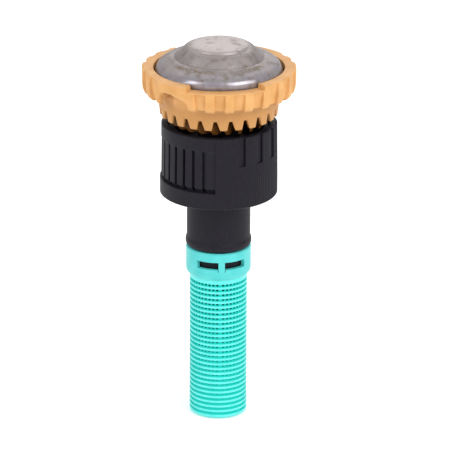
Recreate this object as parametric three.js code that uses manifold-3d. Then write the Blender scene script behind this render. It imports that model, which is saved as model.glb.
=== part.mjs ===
// Rotary multi-stream spray head for a pop-up sprinkler, with its filter screen.
// Millimetres, +Z up. The origin is the centre of the filter's flat bottom.
// The front is -Y: angles called "around" start there and grow towards +X.

import * as THREE from 'three';
import * as BufferGeometryUtils from 'three/addons/utils/BufferGeometryUtils.js';
import Module from 'manifold-3d';

const wasm = await Module();
wasm.setup();

// ---------------------------------------------------------------- driving dimensions

const GAP = 0.3; // between pieces that rest on each other
const RUN = 0.15; // radial clearance where one piece turns or slides on another

const SHAFT_R = 1.5;
const SHAFT_BOTTOM = 21.2;
const SHAFT_TOP = 81.8;
const SHAFT_FLAT = 1.2; // half the width over the two flats

const FILTER_R = 6.3;
const FILTER_WALL = 0.9;
const FILTER_FLOOR = 1.0;
const FILTER_TOP = 38.85;
const FILTER_COLLAR_R = 7.1;
const FILTER_COLLAR_BOTTOM = 33.4; // below it the collar tapers into the screen
const FILTER_TAPER = 1.2;
const WINDOW_BOTTOM = 35.2;
const WINDOW_TOP = 36.9;
const WINDOW_CENTRE = 1.7; // angle of the middle of a pair of windows
const WINDOW_HALF_ANGLE = 46.5;
const LATCH_HALF_ANGLE = 5.7;

const INLET_R = 4.9; // tube of the base that reaches down into the filter
const INLET_BORE = 4.3;
const INLET_BOTTOM = 17;
const SPIGOT_R = 6.05;
const SPIGOT_BOTTOM = 35.0;
const NECK_R = 6.9;
const NECK_LIP_R = 7.15;
const NECK_LIP_BOTTOM = 39.5;
const NECK_LIP_TOP = 40.5;
const NECK_BORE = 5.45;
const NECK_STEP_Z = 41.0; // bottom of the wide neck bore, the seat of the throttle
const THREAD_ROOT_R = 7.95; // female riser thread
const THREAD_CREST_R = 7.5;
const THREAD_PITCH = 0.907;
const THREAD_TURNS = 3;
const BASE_R = 10.6;
const BASE_BOTTOM = 51.3;
const RISER_SEAT_Z = 58.2;
const BASE_TOP = 60.3;
const HUB_R = 3.5; // spider hub inside the neck
const HUB_BOTTOM = 35;
const HUB_FLOOR = 36;
const HUB_TOP = 40;

const COLLAR_BOTTOM = 51.0;
const COLLAR_TOP = 67.0;
const COLLAR_FOOT_R = 12.71;
const COLLAR_RIM_R = 12.57;
const COLLAR_BORE = 10.9;
const COLLAR_LEDGE_Z = 54.8; // top of the plain foot ring
const COLLAR_WEB_TOP = 61.6;
const INSET_R = 12.38; // the half of the collar that carries wide grooves
const DRIVE_R = 5.2; // splined tube that turns the throttle nut
const DRIVE_BORE = 4.6;
const DRIVE_BOTTOM = 42.3;
const DRIVE_SLOT_TOP = 48.4;

const NUT_BOTTOM = 43.2;
const NUT_TOP = 46.6;

const STEM_R = 2.6; // stem of the nozzle cover, the throttle nut's thread
const STEM_TOP = 62.4;
const COVER_BOTTOM = 61.9;
const COVER_TOP = 66.3;
const COVER_SEAT_R = 4.6;
const COVER_SEAT_BORE = 3.55;
const RAMP_RISE = 1.2; // rise of the arc valve's spiral in one turn

const SLEEVE_BOTTOM = 62.7;
const SLEEVE_TOP = 67.2;
const SLEEVE_TEETH_TOP = 67.7;

const TOOTH_COUNT = 24;
const TOOTH_TIP_Z = 68.95;
const TOOTH_ROOT_Z = 70.95;
const TOOTH_TIP_R = 12.7;
const SKIRT_R = 12.9;
const RING_R = 16.6;
const RING_BOTTOM = 73.75;
const RING_TOP = 79.3;
const RING_BORE = 14.1;
const RING_NOTCH_Z = 78.35;
const NOTCH_CENTRE = 1.2;
const NOTCH_HALF_ANGLE = 30.5;
const GRIP_PHASE = 4; // angle of the grip rib next to the front
const GRIP_DEPTH = 0.38;
const CAVITY_R = 9.0;
const CAVITY_FLOOR = 73.2;
const CAP_SHELF_Z = 77.3;

const CAP_R = 13.7;
const CAP_TOP = 84.75;
const CAP_WALL = 0.8;

const SPRING_R = 2.6;
const SPRING_WIRE_R = 0.33;
const SPRING_TURNS = 6;

// Sides of the many-sided turnings: outside walls, ordinary ones, and those near the shaft.
const WALL_SIDES = 32;
const SIDES = 24;
const CORE_SIDES = 16;

// ---------------------------------------------------------------- materials

const blackPlastic = { color: 0x2b2a2f, roughness: 0.55, metalness: 0 };
const tanPlastic = { color: 0xdf9f5c, roughness: 0.5, metalness: 0 };
const tealPlastic = { color: 0x2fc4b8, roughness: 0.45, metalness: 0 };
const wornSteel = { color: 0x8e8684, roughness: 0.38, metalness: 1 };
const brightSteel = { color: 0xb9bbbe, roughness: 0.25, metalness: 1 };
const whitePlastic = { color: 0xd9d7cf, roughness: 0.4, metalness: 0 };
const greyPlastic = { color: 0x75787a, roughness: 0.45, metalness: 0 };
const blackRubber = { color: 0x18181a, roughness: 0.85, metalness: 0 };

// ---------------------------------------------------------------- solids

const radians = THREE.MathUtils.degToRad;

// Turns a closed three.js geometry into a solid that can be joined and cut.
function toSolid(geometry) {
  const bare = geometry.clone();
  bare.deleteAttribute('normal');
  bare.deleteAttribute('uv');
  const merged = BufferGeometryUtils.mergeVertices(bare, 1e-4);
  const corners = merged.index.array;
  const kept = [];
  for (let i = 0; i < corners.length; i += 3) {
    const [a, b, c] = corners.slice(i, i + 3);
    if (a !== b && b !== c && c !== a) kept.push(a, b, c);
  }
  return new wasm.Manifold(new wasm.Mesh({
    numProp: 3,
    vertProperties: merged.attributes.position.array,
    triVerts: new Uint32Array(kept),
  }));
}

function toGeometry(solid) {
  const mesh = solid.getMesh();
  const geometry = new THREE.BufferGeometry();
  geometry.setAttribute('position', new THREE.BufferAttribute(mesh.vertProperties, 3));
  geometry.setIndex(new THREE.BufferAttribute(mesh.triVerts, 1));
  geometry.computeVertexNormals();
  return geometry;
}

function join(solids) {
  return solids.reduce((sum, solid) => sum.add(solid));
}

function cut(solid, tools) {
  return tools.reduce((rest, tool) => rest.subtract(tool), solid);
}

// A solid turned about +Z from an outline of [radius, height] points.
function turned(outline, segments = SIDES) {
  const points = outline.map(([r, z]) => new THREE.Vector2(r, z));
  if (THREE.ShapeUtils.isClockWise(points)) points.reverse();
  if (points.every((point) => point.x > 0)) points.push(points[0].clone());
  const geometry = new THREE.LatheGeometry(points, segments);
  geometry.rotateX(Math.PI / 2);
  return toSolid(geometry);
}

function ring(inner, outer, bottom, top, segments = SIDES) {
  return turned([[inner, bottom], [outer, bottom], [outer, top], [inner, top]], segments);
}

// A round section carried once around +Z.
function roundRing(radius, height, sectionR) {
  const geometry = new THREE.TorusGeometry(radius, sectionR, 6, SIDES);
  geometry.translate(0, 0, height);
  return toSolid(geometry);
}

// A block of a ring between two angles, with an optional rise from its first end to its last.
function sector(inner, outer, bottom, top, from, to, rise = 0) {
  const start = radians(from - 90);
  const sweep = radians(to - from);
  const shape = new THREE.Shape();
  shape.absarc(0, 0, outer, 0, sweep, false);
  shape.absarc(0, 0, inner, sweep, 0, true);
  const curveSegments = Math.max(2, Math.ceil(Math.abs(to - from) / 14));
  const geometry = new THREE.ExtrudeGeometry(shape, {
    depth: top - bottom,
    bevelEnabled: false,
    curveSegments,
  });
  if (rise !== 0) {
    const position = geometry.attributes.position;
    for (let i = 0; i < position.count; i += 1) {
      const angle = Math.atan2(position.getY(i), position.getX(i));
      const share = (angle < -1e-6 ? angle + 2 * Math.PI : angle) / sweep;
      position.setZ(i, position.getZ(i) + rise * share);
    }
  }
  geometry.rotateZ(start);
  geometry.translate(0, 0, bottom);
  return toSolid(geometry);
}

// A box that points outwards at an angle around the axis.
function spoke(from, to, width, bottom, top, around) {
  const geometry = new THREE.BoxGeometry(width, to - from, top - bottom);
  geometry.translate(0, -(from + to) / 2, (bottom + top) / 2);
  geometry.rotateZ(radians(around));
  return toSolid(geometry);
}

// A prism whose outline is seen from outside, [along the rim, height], reaching from one radius
// to another.
function radialPrism(outline, from, to, around) {
  const shape = new THREE.Shape(outline.map(([along, z]) => new THREE.Vector2(along, z)));
  const geometry = new THREE.ExtrudeGeometry(shape, { depth: to - from, bevelEnabled: false });
  geometry.rotateX(Math.PI / 2);
  geometry.translate(0, -from, 0);
  geometry.rotateZ(radians(around));
  return toSolid(geometry);
}

function around(count, phase, make) {
  const solids = [];
  for (let i = 0; i < count; i += 1) solids.push(make(phase + (360 * i) / count));
  return solids;
}

class Helix extends THREE.Curve {
  constructor(radius, bottom, top, turns) {
    super();
    this.radius = radius;
    this.bottom = bottom;
    this.top = top;
    this.turns = turns;
  }

  getPoint(t, target = new THREE.Vector3()) {
    const angle = 2 * Math.PI * this.turns * t;
    const height = this.bottom + (this.top - this.bottom) * t;
    return target.set(this.radius * Math.cos(angle), this.radius * Math.sin(angle), height);
  }
}

const model = new THREE.Group();

function addPiece(name, material, solid) {
  const mesh = new THREE.Mesh(toGeometry(solid), new THREE.MeshStandardMaterial(material));
  mesh.name = name;
  model.add(mesh);
}

// ---------------------------------------------------------------- filter screen

function filterScreen() {
  const inner = FILTER_R - FILTER_WALL;
  const collarBore = SPIGOT_R + RUN;
  const cup = turned([
    [0, 0],
    [FILTER_R - 0.5, 0],
    [FILTER_R - 0.12, 0.15],
    [FILTER_R, 0.5],
    [FILTER_R, FILTER_COLLAR_BOTTOM - FILTER_TAPER],
    [FILTER_COLLAR_R, FILTER_COLLAR_BOTTOM],
    [FILTER_COLLAR_R, FILTER_TOP - 0.2],
    [FILTER_COLLAR_R - 0.2, FILTER_TOP],
    [collarBore, FILTER_TOP],
    [collarBore, SPIGOT_BOTTOM - 0.4],
    [inner, SPIGOT_BOTTOM - 0.8],
    [inner, FILTER_FLOOR],
    [0, FILTER_FLOOR],
  ]);
  const windows = [];
  for (const middle of [WINDOW_CENTRE, WINDOW_CENTRE + 180]) {
    for (const side of [-1, 1]) {
      const ends = [side * LATCH_HALF_ANGLE, side * WINDOW_HALF_ANGLE].sort((a, b) => a - b);
      windows.push(sector(5.8, 7.5, WINDOW_BOTTOM, WINDOW_TOP, middle + ends[0], middle + ends[1]));
    }
  }
  return cut(cup, windows);
}

addPiece('filter_screen', tealPlastic, filterScreen());

// ---------------------------------------------------------------- nozzle base

// One ridge of the riser thread, drawn as a ring because the crest only has to locate the riser.
function threadRidge(height) {
  const half = THREAD_PITCH / 3;
  return turned([
    [THREAD_CREST_R, height - half / 3],
    [THREAD_ROOT_R + 0.2, height - half],
    [THREAD_ROOT_R + 0.2, height + half],
    [THREAD_CREST_R, height + half / 3],
  ]);
}

function nozzleBase() {
  const seatInner = NECK_R + 0.15;
  const seatOuter = THREAD_CREST_R - 0.05;
  const grooveR = NECK_BORE + 0.5;
  const grooveZ = BASE_TOP - 3;
  const body = turned([
    [INLET_BORE, INLET_BOTTOM],
    [INLET_R, INLET_BOTTOM],
    [INLET_R, SPIGOT_BOTTOM - 0.1],
    [SPIGOT_R, SPIGOT_BOTTOM + 0.2],
    [SPIGOT_R, FILTER_TOP + 0.15],
    [NECK_R - 0.1, FILTER_TOP + GAP],
    [NECK_LIP_R, NECK_LIP_BOTTOM],
    [NECK_LIP_R, NECK_LIP_TOP],
    [NECK_R, NECK_LIP_TOP + 0.6],
    [NECK_R, RISER_SEAT_Z + 0.3],
    [seatInner, RISER_SEAT_Z + 0.3],
    [seatInner, RISER_SEAT_Z],
    [seatOuter, RISER_SEAT_Z],
    [seatOuter, RISER_SEAT_Z + 0.3],
    [THREAD_ROOT_R, RISER_SEAT_Z + 0.3],
    [THREAD_ROOT_R, BASE_BOTTOM],
    [BASE_R, BASE_BOTTOM],
    [BASE_R, BASE_TOP],
    [NECK_BORE, BASE_TOP],
    [NECK_BORE, grooveZ + 1],
    [grooveR, grooveZ + 1],
    [grooveR, grooveZ],
    [NECK_BORE, grooveZ],
    [NECK_BORE, NECK_STEP_Z],
    [INLET_BORE, NECK_STEP_Z - 0.8],
  ]);
  const ridges = [];
  for (let turn = 0; turn < THREAD_TURNS; turn += 1) {
    ridges.push(threadRidge(BASE_BOTTOM + (turn + 1) * THREAD_PITCH));
  }
  const hub = turned([
    [SHAFT_R + RUN, HUB_BOTTOM],
    [HUB_R, HUB_BOTTOM],
    [HUB_R, HUB_TOP],
    [STEM_R + RUN, HUB_TOP],
    [STEM_R + RUN, HUB_FLOOR],
    [SHAFT_R + RUN, HUB_FLOOR],
  ], CORE_SIDES);
  const spokes = around(3, 60, (angle) => spoke(HUB_R - 0.2, INLET_BORE + 0.2, 1, 35.4, 38.6, angle));
  const keys = around(2, 0, (angle) => spoke(SHAFT_FLAT + 0.12, 2, 1.6, HUB_BOTTOM, HUB_FLOOR, angle));
  return join([body, ...ridges, hub, ...spokes, ...keys]);
}

addPiece('nozzle_base', blackPlastic, nozzleBase());
addPiece('neck_o_ring', blackRubber, roundRing(5.63, BASE_TOP - 2.5, 0.28));

// ---------------------------------------------------------------- radius collar

const GROOVE_COUNT = 17;
const GROOVE_PITCH = 10;
const GROOVE_FIRST = -20;
const GROOVE_TOP = 63.9;
const INSET_EDGE = -7.3;
const POCKET_COUNT = 8;
const POCKET_PITCH = 21;
const POCKET_WIDTH = 10;
const POCKET_FIRST = 13.0;
const POCKET_BOTTOM = 60.6;

function radiusCollar() {
  const oRingInner = 6.0;
  const oRingOuter = 7.0;
  const grooveFloor = COLLAR_WEB_TOP - 0.45;
  const shell = turned([
    [COLLAR_BORE, COLLAR_BOTTOM],
    [COLLAR_FOOT_R - 0.25, COLLAR_BOTTOM],
    [COLLAR_FOOT_R, COLLAR_BOTTOM + 0.25],
    [COLLAR_FOOT_R, COLLAR_LEDGE_Z],
    [COLLAR_RIM_R, COLLAR_TOP - 0.2],
    [COLLAR_RIM_R - 0.2, COLLAR_TOP],
    [COLLAR_BORE + 0.1, COLLAR_TOP],
    [COLLAR_BORE, COLLAR_TOP - 0.1],
    [COLLAR_BORE, COLLAR_WEB_TOP],
    [oRingOuter, COLLAR_WEB_TOP],
    [oRingOuter, grooveFloor],
    [oRingInner, grooveFloor],
    [oRingInner, COLLAR_WEB_TOP],
    [DRIVE_BORE, COLLAR_WEB_TOP],
    [DRIVE_BORE, DRIVE_BOTTOM],
    [DRIVE_R, DRIVE_BOTTOM],
    [DRIVE_R, BASE_TOP + GAP],
    [COLLAR_BORE, BASE_TOP + GAP],
  ], WALL_SIDES);
  const slots = around(2, 90, (angle) => spoke(4, 6, 2, DRIVE_BOTTOM - 1, DRIVE_SLOT_TOP, angle));
  const inset = sector(INSET_R, 14, COLLAR_LEDGE_Z, COLLAR_TOP + 1, INSET_EDGE - 180, INSET_EDGE);
  const grooves = [];
  for (let i = 0; i < GROOVE_COUNT; i += 1) {
    const angle = GROOVE_FIRST - i * GROOVE_PITCH;
    if (angle > INSET_EDGE - 180 + 3) {
      grooves.push(spoke(INSET_R - 0.35, 13, 0.45, COLLAR_LEDGE_Z, GROOVE_TOP, angle));
    }
  }
  const pockets = [];
  for (let i = 0; i < POCKET_COUNT; i += 1) {
    const from = POCKET_FIRST + i * POCKET_PITCH;
    pockets.push(sector(INSET_R - 0.2, 14, POCKET_BOTTOM, COLLAR_TOP + 1, from, from + POCKET_WIDTH));
  }
  return cut(shell, [...slots, inset, ...grooves, ...pockets]);
}

addPiece('radius_collar', blackPlastic, radiusCollar());
addPiece('cover_o_ring', blackRubber, roundRing(6.5, COLLAR_WEB_TOP - 0.14, 0.28));

// ---------------------------------------------------------------- throttle nut

function throttleNut() {
  const body = turned([
    [STEM_R + RUN, NUT_BOTTOM],
    [3.6, NUT_BOTTOM],
    [4.35, NUT_BOTTOM + 0.6],
    [4.35, NUT_BOTTOM + 1.1],
    [3.6, NUT_BOTTOM + 1.4],
    [3.6, NUT_TOP],
    [STEM_R + RUN, NUT_TOP],
  ], CORE_SIDES);
  const tabs = around(2, 90, (angle) => spoke(3.3, 5.05, 1.6, NUT_TOP - 2, NUT_TOP - 0.4, angle));
  return join([body, ...tabs]);
}

addPiece('throttle_nut', whitePlastic, throttleNut());

// ---------------------------------------------------------------- nozzle cover

function nozzleCover() {
  const bowl = turned([
    [COVER_SEAT_BORE, COLLAR_WEB_TOP - 2.1],
    [DRIVE_BORE - RUN - 0.1, COLLAR_WEB_TOP - 2.1],
    [DRIVE_BORE - RUN - 0.1, COVER_BOTTOM],
    [BASE_R, COVER_BOTTOM],
    [BASE_R, COVER_TOP],
    [BASE_R - 0.7, COVER_TOP],
    [BASE_R - 0.7, COVER_BOTTOM + 1.1],
    [BASE_R - 1.2, COVER_BOTTOM + 0.7],
    [COVER_SEAT_R + 0.3, COVER_BOTTOM + 0.7],
    [COVER_SEAT_R, COVER_BOTTOM + 1],
    [COVER_SEAT_R, 64.6],
    [COVER_SEAT_BORE, 64.6],
  ]);
  const ramp = sector(COVER_SEAT_BORE + 0.01, COVER_SEAT_R - 0.05, 64.2, 64.9, 5, 355, RAMP_RISE);
  const stem = ring(SHAFT_R + RUN, STEM_R, HUB_FLOOR + GAP, STEM_TOP, CORE_SIDES);
  const ribs = around(4, 45, (angle) => spoke(2.4, 3.8, 0.8, COLLAR_WEB_TOP - 2.1, STEM_TOP - 0.2, angle));
  return join([bowl, ramp, stem, ...ribs]);
}

addPiece('nozzle_cover', blackPlastic, nozzleCover());

// ---------------------------------------------------------------- arc valve sleeve

const CLUTCH_TEETH = 6;

function clutchTeeth(bottom, top) {
  return around(CLUTCH_TEETH, 0, (angle) => spoke(1.8, 2.8, 0.8, bottom, top, angle));
}

function valveSleeve() {
  const body = turned([
    [SHAFT_R + RUN, SLEEVE_BOTTOM],
    [3.0, SLEEVE_BOTTOM],
    [3.3, SLEEVE_BOTTOM + 0.3],
    [3.3, 64.3],
    [2.9, 64.8],
    [2.9, SLEEVE_TOP],
    [SHAFT_R + RUN, SLEEVE_TOP],
  ], CORE_SIDES);
  const ramp = sector(2.7, 3.28, 64.0, 64.7, 5, 355, RAMP_RISE);
  return join([body, ramp, ...clutchTeeth(SLEEVE_TOP - 0.2, SLEEVE_TEETH_TOP)]);
}

addPiece('valve_sleeve', blackPlastic, valveSleeve());

// ---------------------------------------------------------------- shaft and its lower end

const CLIP_Z = 80.2;
const CLIP_GROOVE_R = 1.15;

function shaft() {
  const rod = turned([
    [0, SHAFT_BOTTOM],
    [SHAFT_R - 0.2, SHAFT_BOTTOM],
    [SHAFT_R, SHAFT_BOTTOM + 0.2],
    [SHAFT_R, CLIP_Z],
    [CLIP_GROOVE_R, CLIP_Z],
    [CLIP_GROOVE_R, CLIP_Z + 0.6],
    [SHAFT_R, CLIP_Z + 0.6],
    [SHAFT_R, SHAFT_TOP - 0.3],
    [SHAFT_R - 0.3, SHAFT_TOP],
    [0, SHAFT_TOP],
  ], CORE_SIDES);
  const flats = around(2, 0, (angle) => spoke(SHAFT_FLAT, 2, 4, SHAFT_BOTTOM + 3.8, 42, angle));
  return cut(rod, flats);
}

function shaftNut() {
  const hex = new THREE.CylinderGeometry(3.1, 3.1, 2, 6);
  hex.rotateX(Math.PI / 2);
  hex.translate(0, 0, SHAFT_BOTTOM + 1.6);
  const bore = turned([[0, 20], [SHAFT_R + 0.08, 20], [SHAFT_R + 0.08, 26], [0, 26]], CORE_SIDES);
  return toSolid(hex).subtract(bore);
}

function returnSpring() {
  const wire = new THREE.Shape();
  wire.absarc(0, 0, SPRING_WIRE_R, 0, 2 * Math.PI, false);
  const path = new Helix(SPRING_R, SHAFT_BOTTOM + 4.2, HUB_BOTTOM - 0.7, SPRING_TURNS);
  const geometry = new THREE.ExtrudeGeometry(wire, {
    extrudePath: path,
    steps: SPRING_TURNS * 12,
    curveSegments: 3,
  });
  return toSolid(geometry);
}

addPiece('shaft', brightSteel, shaft());
addPiece('shaft_nut', brightSteel, shaftNut());
addPiece('spring_washer', brightSteel, ring(SHAFT_R + 0.1, 3.7, SHAFT_BOTTOM + 2.9, SHAFT_BOTTOM + 3.5, CORE_SIDES));
addPiece('return_spring', brightSteel, returnSpring());

// ---------------------------------------------------------------- deflector

// The ring's lower edge lifts here into a finger arch beside the front.
const ARCH_AROUND = -43;

function gripArch(angle) {
  return radialPrism([
    [-4.3, RING_BOTTOM - 0.4],
    [-4.1, 76.4],
    [-3.2, 77.2],
    [-1.6, 76.9],
    [1.5, 75.6],
    [4.6, 74.7],
    [4.6, RING_BOTTOM - 0.4],
  ], SKIRT_R + 0.25, 18, angle);
}

// The end of one spiral vane: a steep flank on one side, a slanted one on the other.
function vane(angle) {
  return radialPrism([
    [-1.35, TOOTH_ROOT_Z + 1.4],
    [-1.35, TOOTH_ROOT_Z],
    [-0.5, TOOTH_TIP_Z],
    [0.75, TOOTH_TIP_Z],
    [1.2, TOOTH_ROOT_Z],
    [1.2, TOOTH_ROOT_Z + 1.4],
  ], 8.2, TOOTH_TIP_R, angle);
}

// The recesses of one half of the grip ring. Those in the notch stop under its floor, and the wall
// above the finger arch has none.
function gripRow(turn) {
  const pitch = 360 / TOOTH_COUNT;
  const recesses = [];
  for (let angle = GRIP_PHASE + pitch / 2 - 90; angle < 90; angle += pitch) {
    const inNotch = Math.abs(angle - NOTCH_CENTRE) < NOTCH_HALF_ANGLE;
    const overArch = Math.abs(angle - ARCH_AROUND) < pitch;
    const top = inNotch ? RING_NOTCH_Z - 0.25 : RING_TOP + 1;
    if (!overArch) {
      recesses.push(spoke(RING_R - GRIP_DEPTH, 18, 2.1, RING_BOTTOM - 0.5, top, turn + angle));
    }
  }
  return recesses;
}

function deflector() {
  const body = turned([
    [SHAFT_R + RUN, 69.4],
    [3.6, 69.4],
    [6.0, 69.9],
    [9.0, 71.6],
    [11.4, 71.3],
    [SKIRT_R - 0.1, TOOTH_ROOT_Z],
    [SKIRT_R, 73.0],
    [13.6, RING_BOTTOM + 0.2],
    [RING_R - 1.3, RING_BOTTOM],
    [RING_R - 0.55, RING_BOTTOM + 0.45],
    [RING_R, RING_BOTTOM + 1.7],
    [RING_R, RING_TOP - 0.3],
    [RING_R - 0.3, RING_TOP],
    [RING_BORE + 0.3, RING_TOP],
    [RING_BORE, RING_TOP - 0.3],
    [RING_BORE, CAP_SHELF_Z],
    [CAVITY_R, CAP_SHELF_Z],
    [CAVITY_R, CAVITY_FLOOR],
    [SHAFT_R + RUN, CAVITY_FLOOR],
  ], WALL_SIDES);
  const vanes = around(TOOTH_COUNT, 0, vane);
  const grips = around(2, 0, gripRow).flat();
  const half = NOTCH_HALF_ANGLE;
  const notches = around(2, NOTCH_CENTRE, (angle) => (
    sector(RING_BORE - 0.5, 18, RING_NOTCH_Z, RING_TOP + 1, angle - half, angle + half)
  ));
  const arches = around(2, ARCH_AROUND, gripArch);
  const solid = join([body, ...vanes, ...clutchTeeth(68.9, 69.6)]);
  return cut(solid, [...grips, ...notches, ...arches]);
}

addPiece('deflector', tanPlastic, deflector());

// ---------------------------------------------------------------- brake, inside the deflector

const RETAINER_Z = 74.6;
const PAD_Z = 75.5;
const DISK_Z = 76.5;

function lipSeal() {
  return turned([
    [SHAFT_R + 0.1, CAVITY_FLOOR + 0.7],
    [2.1, CAVITY_FLOOR + GAP],
    [3.2, CAVITY_FLOOR + GAP],
    [3.2, RETAINER_Z - GAP],
    [2.2, RETAINER_Z - GAP],
  ], CORE_SIDES);
}

function sealRetainer() {
  return turned([
    [2.0, RETAINER_Z],
    [7.8, RETAINER_Z],
    [7.8, CAVITY_FLOOR + GAP],
    [CAVITY_R - RUN, CAVITY_FLOOR + GAP],
    [CAVITY_R - RUN, RETAINER_Z + 0.6],
    [2.0, RETAINER_Z + 0.6],
  ]);
}

function frictionDisk() {
  return turned([
    [SHAFT_R + 0.06, DISK_Z],
    [7.8, DISK_Z],
    [7.8, DISK_Z + 0.6],
    [2.8, DISK_Z + 0.6],
    [2.8, CLIP_Z - 1],
    [SHAFT_R + 0.06, CLIP_Z - 1],
  ]);
}

function shaftClip() {
  return sector(CLIP_GROOVE_R + 0.08, 2.9, CLIP_Z + 0.1, CLIP_Z + 0.5, 30, 330);
}

addPiece('lip_seal', blackRubber, lipSeal());
addPiece('seal_retainer', greyPlastic, sealRetainer());
addPiece('brake_pad', blackRubber, ring(2.2, 7.6, PAD_Z, PAD_Z + 0.7));
addPiece('friction_disk', whitePlastic, frictionDisk());
addPiece('thrust_washer', brightSteel, ring(SHAFT_R + 0.06, 2.7, CLIP_Z - 0.7, CLIP_Z - 0.3, CORE_SIDES));
addPiece('shaft_clip', brightSteel, shaftClip());

// ---------------------------------------------------------------- cap

// The heights of the dome count down from its top.
function cap() {
  const rim = CAP_SHELF_Z + GAP;
  const below = (drop) => CAP_TOP - drop;
  return turned([
    [0, below(CAP_WALL)],
    [5.6, below(1.3)],
    [6.6, below(1.95)],
    [9.2, below(4.2)],
    [11.0, below(4.5)],
    [12.0, below(5.2)],
    [12.9, below(6.3)],
    [12.9, rim],
    [CAP_R, rim],
    [CAP_R, below(6.2)],
    [13.3, below(5.2)],
    [12.2, below(4.3)],
    [11.1, below(3.7)],
    [9.65, below(3.4)],
    [8.6, below(2.4)],
    [7.1, below(1.2)],
    [6.2, below(0.6)],
    [3.4, below(0.12)],
    [0, CAP_TOP],
  ], WALL_SIDES);
}

addPiece('cap', wornSteel, cap());

export default model;
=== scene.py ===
"""Looks of a rotary sprinkler nozzle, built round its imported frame.

Metres, +Z up, the front is -Y. Angles "around" start at the front and grow towards +X, in degrees.
Sizes are in millimetres and become metres in the last step of each mesh.
"""

import math

import bmesh
import bpy
import numpy as np
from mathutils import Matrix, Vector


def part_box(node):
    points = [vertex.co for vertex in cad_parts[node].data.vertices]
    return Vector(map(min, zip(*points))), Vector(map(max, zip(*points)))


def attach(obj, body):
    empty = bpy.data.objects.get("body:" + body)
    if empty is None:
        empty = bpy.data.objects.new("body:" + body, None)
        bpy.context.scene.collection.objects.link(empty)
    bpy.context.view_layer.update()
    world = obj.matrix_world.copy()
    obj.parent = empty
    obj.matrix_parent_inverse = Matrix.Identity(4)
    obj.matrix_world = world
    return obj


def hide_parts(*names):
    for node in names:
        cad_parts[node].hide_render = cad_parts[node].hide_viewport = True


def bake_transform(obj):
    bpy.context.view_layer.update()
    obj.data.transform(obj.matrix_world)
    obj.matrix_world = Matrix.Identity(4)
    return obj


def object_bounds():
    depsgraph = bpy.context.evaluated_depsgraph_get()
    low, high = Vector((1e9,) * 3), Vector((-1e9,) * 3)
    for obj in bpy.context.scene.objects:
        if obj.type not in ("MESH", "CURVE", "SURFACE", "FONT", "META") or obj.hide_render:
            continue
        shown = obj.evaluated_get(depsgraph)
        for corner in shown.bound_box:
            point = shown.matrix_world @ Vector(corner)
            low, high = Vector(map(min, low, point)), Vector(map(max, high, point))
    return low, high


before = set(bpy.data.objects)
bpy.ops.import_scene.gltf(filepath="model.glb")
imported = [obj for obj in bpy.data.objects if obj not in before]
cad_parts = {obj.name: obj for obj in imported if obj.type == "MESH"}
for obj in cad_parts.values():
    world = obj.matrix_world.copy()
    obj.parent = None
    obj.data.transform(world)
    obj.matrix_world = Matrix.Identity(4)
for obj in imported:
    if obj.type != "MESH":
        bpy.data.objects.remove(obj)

MM = 0.001
SHARP = 35.0  # edges sharper than this many degrees are shaded hard
CAD_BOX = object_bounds()

# ------------------------------------------------------------------ places, from the frame


def low(node):
    """Height of a node's lowest point, in millimetres."""
    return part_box(node)[0].z / MM


def top(node):
    """Height of a node's highest point, in millimetres."""
    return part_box(node)[1].z / MM


def reach(node):
    """How far a node reaches to +X: the radius of a round one, in millimetres."""
    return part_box(node)[1].x / MM


RUN = 0.15  # clearance round a turning piece
SHAFT_R = reach("shaft")
FILTER_R = 6.3
FILTER_TOP = top("filter_screen")
FILTER_COLLAR_R = reach("filter_screen")
RING_R = reach("deflector")
RING_TOP = top("deflector")
COLLAR_FOOT_R = reach("radius_collar")
COLLAR_RIM_R = COLLAR_FOOT_R - 0.14
COLLAR_LOW = 51.0
COLLAR_TOP = top("radius_collar")
BASE_R = reach("nozzle_base")
BASE_TOP = top("nozzle_base")
BASE_LOW = 51.3
CAP_TOP = top("cap")

# ------------------------------------------------------------------ mesh helpers


def turn(columns):
    """Angles of the columns of a full turn."""
    return np.linspace(0.0, 360.0, columns, endpoint=False)


def step(x, start, end):
    """0 before start and 1 after end, smooth between them."""
    t = np.clip((x - start) / (end - start), 0.0, 1.0)
    return t * t * (3 - 2 * t)


def offset(angle, count, phase=0.0):
    """How far each angle lies from the nearest of count evenly spaced places."""
    pitch = 360.0 / count
    return (angle - phase + pitch / 2) % pitch - pitch / 2


def band(distance, half, soft):
    """1 within half of a place and 0 outside, with an edge as wide as soft."""
    return 1 - step(np.abs(distance), half - soft / 2, half + soft / 2)


def rounded(corners, steps=3, closed=True):
    """An outline of (radius, height, fillet) corners as point lists; each number may vary by column."""
    columns = max(np.size(value) for corner in corners for value in corner[:2])
    places = [
        np.stack([np.broadcast_to(corner[0], columns), np.broadcast_to(corner[1], columns)], -1)
        for corner in corners
    ]
    points = []
    last = len(corners) - 1
    for i, corner in enumerate(corners):
        here = places[i]
        fillet = corner[2] if len(corner) > 2 else 0.0
        if fillet == 0 or (not closed and i in (0, last)):
            points.append(here)
            continue
        ends = []
        for other in (places[i - 1], places[(i + 1) % len(corners)]):
            way = other - here
            length = np.maximum(np.linalg.norm(way, axis=-1, keepdims=True), 1e-9)
            ends.append(here + way / length * np.minimum(fillet, 0.45 * length))
        for k in range(steps + 1):
            t = k / steps
            points.append((1 - t) ** 2 * ends[0] + 2 * t * (1 - t) * here + t**2 * ends[1])
    return np.stack(points, 1)


def place(radius, around, height):
    """Points in metres from a radius, an angle and a height."""
    angle = np.radians(around)
    return np.stack([radius * np.sin(angle), -radius * np.cos(angle), height], -1) * MM


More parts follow.
